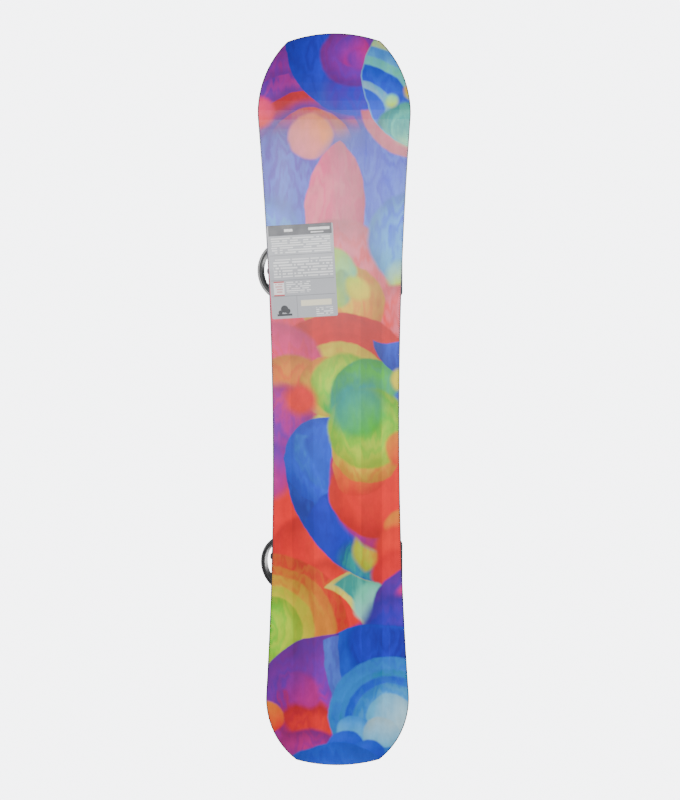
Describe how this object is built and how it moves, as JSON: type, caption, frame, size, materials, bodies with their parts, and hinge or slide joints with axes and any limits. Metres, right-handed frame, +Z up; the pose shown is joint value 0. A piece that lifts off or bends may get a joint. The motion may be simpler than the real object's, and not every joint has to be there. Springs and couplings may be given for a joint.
{
  "type": "snowboard with bindings",
  "caption": "Twin-tip snowboard with laminated core, steel edges and a pair of adjustable two-strap bindings with folding highbacks.",
  "frame": {"origin": "centre of the running base, halfway between the tips, on the base's lower face", "axes": "+X from tail to nose, +Y from the heel side to the toe side, +Z up from the base to the bindings"},
  "size_m": [1.44, 0.2947, 0.2483],
  "materials": {
    "base": "gloss",
    "edge_steel": "satin",
    "laminate": "satin",
    "core_wood": "matte",
    "sidewall": "satin",
    "tip_plastic": "matte",
    "top": "satin",
    "steel": "satin",
    "disc_plastic": "satin",
    "chassis": "satin",
    "foam": "matte",
    "ramp_plastic": "matte",
    "hoop_metal": "gloss",
    "shell": "satin",
    "yoke_plastic": "matte",
    "ladder_plastic": "satin",
    "tongue_plastic": "matte",
    "strap_fabric": "matte",
    "cap_rubber": "matte",
    "buckle_metal": "satin",
    "lever_metal": "satin",
    "release_plastic": "satin"
  },
  "bodies": {
    "board": {"base_sheet": "base", "steel_edges": "edge_steel", "lower_laminate": "laminate", "wood_core": "core_wood", "sidewalls": "sidewall", "tip_spacers": "tip_plastic", "upper_laminate": "laminate", "topsheet": "top", "threaded_inserts": "steel", "front_mounting_disc": "disc_plastic", "front_disc_screws": "steel", "rear_mounting_disc": "disc_plastic", "rear_disc_screws": "steel"},
    "front_chassis": {"front_baseplate": "chassis", "front_heel_pad": "foam", "front_chassis_bolts": "steel", "front_heel_hoop": "hoop_metal", "front_strap_bolts": "steel"},
    "front_ramp": {"front_toe_ramp": "ramp_plastic"},
    "front_back": {"front_highback": "shell", "front_highback_pad": "foam"},
    "front_yoke": {"front_lean_yoke": "yoke_plastic"},
    "front_ankle_hanger": {"front_ankle_ladder": "ladder_plastic", "front_ankle_anchor": "tongue_plastic"},
    "front_ankle_strap": {"front_ankle_pad": "strap_fabric", "front_ankle_tongue": "tongue_plastic", "front_ankle_buckle": "buckle_metal"},
    "front_ankle_lever_arm": {"front_ankle_lever": "lever_metal"},
    "front_ankle_release_arm": {"front_ankle_release": "release_plastic"},
    "front_toe_hanger": {"front_toe_ladder": "ladder_plastic", "front_toe_anchor": "tongue_plastic"},
    "front_toe_strap": {"front_toe_cap": "cap_rubber", "front_toe_tongue": "tongue_plastic", "front_toe_buckle": "buckle_metal"},
    "front_toe_lever_arm": {"front_toe_lever": "lever_metal"},
    "front_toe_release_arm": {"front_toe_release": "release_plastic"},
    "rear_chassis": {"rear_baseplate": "chassis", "rear_heel_pad": "foam", "rear_chassis_bolts": "steel", "rear_heel_hoop": "hoop_metal", "rear_strap_bolts": "steel"},
    "rear_ramp": {"rear_toe_ramp": "ramp_plastic"},
    "rear_back": {"rear_highback": "shell", "rear_highback_pad": "foam"},
    "rear_yoke": {"rear_lean_yoke": "yoke_plastic"},
    "rear_ankle_hanger": {"rear_ankle_ladder": "ladder_plastic", "rear_ankle_anchor": "tongue_plastic"},
    "rear_ankle_strap": {"rear_ankle_pad": "strap_fabric", "rear_ankle_tongue": "tongue_plastic", "rear_ankle_buckle": "buckle_metal"},
    "rear_ankle_lever_arm": {"rear_ankle_lever": "lever_metal"},
    "rear_ankle_release_arm": {"rear_ankle_release": "release_plastic"},
    "rear_toe_hanger": {"rear_toe_ladder": "ladder_plastic", "rear_toe_anchor": "tongue_plastic"},
    "rear_toe_strap": {"rear_toe_cap": "cap_rubber", "rear_toe_tongue": "tongue_plastic", "rear_toe_buckle": "buckle_metal"},
    "rear_toe_lever_arm": {"rear_toe_lever": "lever_metal"},
    "rear_toe_release_arm": {"rear_toe_release": "release_plastic"}
  },
  "joints": [
    {"name": "front_stance_swivel", "type": "hinge", "parent": "board", "child": "front_chassis", "pos_m": [0.272, 0, 0.0076], "axis": [0, 0, 1], "range_deg": [-30, 30]},
    {"name": "front_ramp_slide", "type": "slide", "parent": "front_chassis", "child": "front_ramp", "axis": [0, 1, 0], "range_m": [-0.006, 0.006]},
    {"name": "front_highback_fold", "type": "hinge", "parent": "front_chassis", "child": "front_back", "pos_m": [0.272, -0.094, 0.0496], "axis": [-1, 0, 0], "range_deg": [0, 40]},
    {"name": "front_lean_slide", "type": "slide", "parent": "front_back", "child": "front_yoke", "axis": [0, 0.3746, 0.9272], "range_m": [0, 0.01]},
    {"name": "front_ankle_swing", "type": "hinge", "parent": "front_chassis", "child": "front_ankle_hanger", "pos_m": [0.272, -0.03, 0.0456], "axis": [-1, 0, 0], "range_deg": [-15, 15]},
    {"name": "front_ankle_open", "type": "hinge", "parent": "front_ankle_hanger", "child": "front_ankle_strap", "pos_m": [0.2151, -0.02258, 0.05747], "axis": [0, -0.848, 0.5299], "range_deg": [0, 95], "deforming": ["front_ankle_ladder"]},
    {"name": "front_ankle_lever_lift", "type": "hinge", "parent": "front_ankle_strap", "child": "front_ankle_lever_arm", "pos_m": [0.29271, 0.01459, 0.11695], "axis": [0, -0.848, 0.5299], "range_deg": [0, 60]},
    {"name": "front_ankle_release_lift", "type": "hinge", "parent": "front_ankle_strap", "child": "front_ankle_release_arm", "pos_m": [0.32015, 0.00265, 0.09785], "axis": [0, -0.848, 0.5299], "range_deg": [0, 10], "stiffness_Nm_per_rad": 0.1},
    {"name": "front_toe_swing", "type": "hinge", "parent": "front_chassis", "child": "front_toe_hanger", "pos_m": [0.272, 0.06, 0.0316], "axis": [-1, 0, 0], "range_deg": [-15, 15]},
    {"name": "front_toe_open", "type": "hinge", "parent": "front_toe_hanger", "child": "front_toe_strap", "pos_m": [0.2151, 0.06524, 0.04458], "axis": [0, -0.9272, 0.3746], "range_deg": [0, 95], "deforming": ["front_toe_ladder"]},
    {"name": "front_toe_lever_lift", "type": "hinge", "parent": "front_toe_strap", "child": "front_toe_lever_arm", "pos_m": [0.29271, 0.08815, 0.10126], "axis": [0, -0.9272, 0.3746], "range_deg": [0, 60]},
    {"name": "front_toe_release_lift", "type": "hinge", "parent": "front_toe_strap", "child": "front_toe_release_arm", "pos_m": [0.32015, 0.07971, 0.08039], "axis": [0, -0.9272, 0.3746], "range_deg": [0, 10], "stiffness_Nm_per_rad": 0.1},
    {"name": "rear_stance_swivel", "type": "hinge", "parent": "board", "child": "rear_chassis", "pos_m": [-0.304, 0, 0.0076], "axis": [0, 0, -1], "range_deg": [-30, 30]},
    {"name": "rear_ramp_slide", "type": "slide", "parent": "rear_chassis", "child": "rear_ramp", "axis": [0, 1, 0], "range_m": [-0.006, 0.006]},
    {"name": "rear_highback_fold", "type": "hinge", "parent": "rear_chassis", "child": "rear_back", "pos_m": [-0.304, -0.094, 0.0496], "axis": [-1, 0, 0], "range_deg": [0, 40]},
    {"name": "rear_lean_slide", "type": "slide", "parent": "rear_back", "child": "rear_yoke", "axis": [0, 0.3746, 0.9272], "range_m": [0, 0.01]},
    {"name": "rear_ankle_swing", "type": "hinge", "parent": "rear_chassis", "child": "rear_ankle_hanger", "pos_m": [-0.304, -0.03, 0.0456], "axis": [-1, 0, 0], "range_deg": [-15, 15]},
    {"name": "rear_ankle_open", "type": "hinge", "parent": "rear_ankle_hanger", "child": "rear_ankle_strap", "pos_m": [-0.2471, -0.02258, 0.05747], "axis": [0, 0.848, -0.5299], "range_deg": [0, 95], "deforming": ["rear_ankle_ladder"]},
    {"name": "rear_ankle_lever_lift", "type": "hinge", "parent": "rear_ankle_strap", "child": "rear_ankle_lever_arm", "pos_m": [-0.32471, 0.01459, 0.11695], "axis": [0, 0.848, -0.5299], "range_deg": [0, 60]},
    {"name": "rear_ankle_release_lift", "type": "hinge", "parent": "rear_ankle_strap", "child": "rear_ankle_release_arm", "pos_m": [-0.35215, 0.00265, 0.09785], "axis": [0, 0.848, -0.5299], "range_deg": [0, 10], "stiffness_Nm_per_rad": 0.1},
    {"name": "rear_toe_swing", "type": "hinge", "parent": "rear_chassis", "child": "rear_toe_hanger", "pos_m": [-0.304, 0.06, 0.0316], "axis": [-1, 0, 0], "range_deg": [-15, 15]},
    {"name": "rear_toe_open", "type": "hinge", "parent": "rear_toe_hanger", "child": "rear_toe_strap", "pos_m": [-0.2471, 0.06524, 0.04458], "axis": [0, 0.9272, -0.3746], "range_deg": [0, 95], "deforming": ["rear_toe_ladder"]},
    {"name": "rear_toe_lever_lift", "type": "hinge", "parent": "rear_toe_strap", "child": "rear_toe_lever_arm", "pos_m": [-0.32471, 0.08815, 0.10126], "axis": [0, 0.9272, -0.3746], "range_deg": [0, 60]},
    {"name": "rear_toe_release_lift", "type": "hinge", "parent": "rear_toe_strap", "child": "rear_toe_release_arm", "pos_m": [-0.35215, 0.07971, 0.08039], "axis": [0, 0.9272, -0.3746], "range_deg": [0, 10], "stiffness_Nm_per_rad": 0.1}
  ]
}
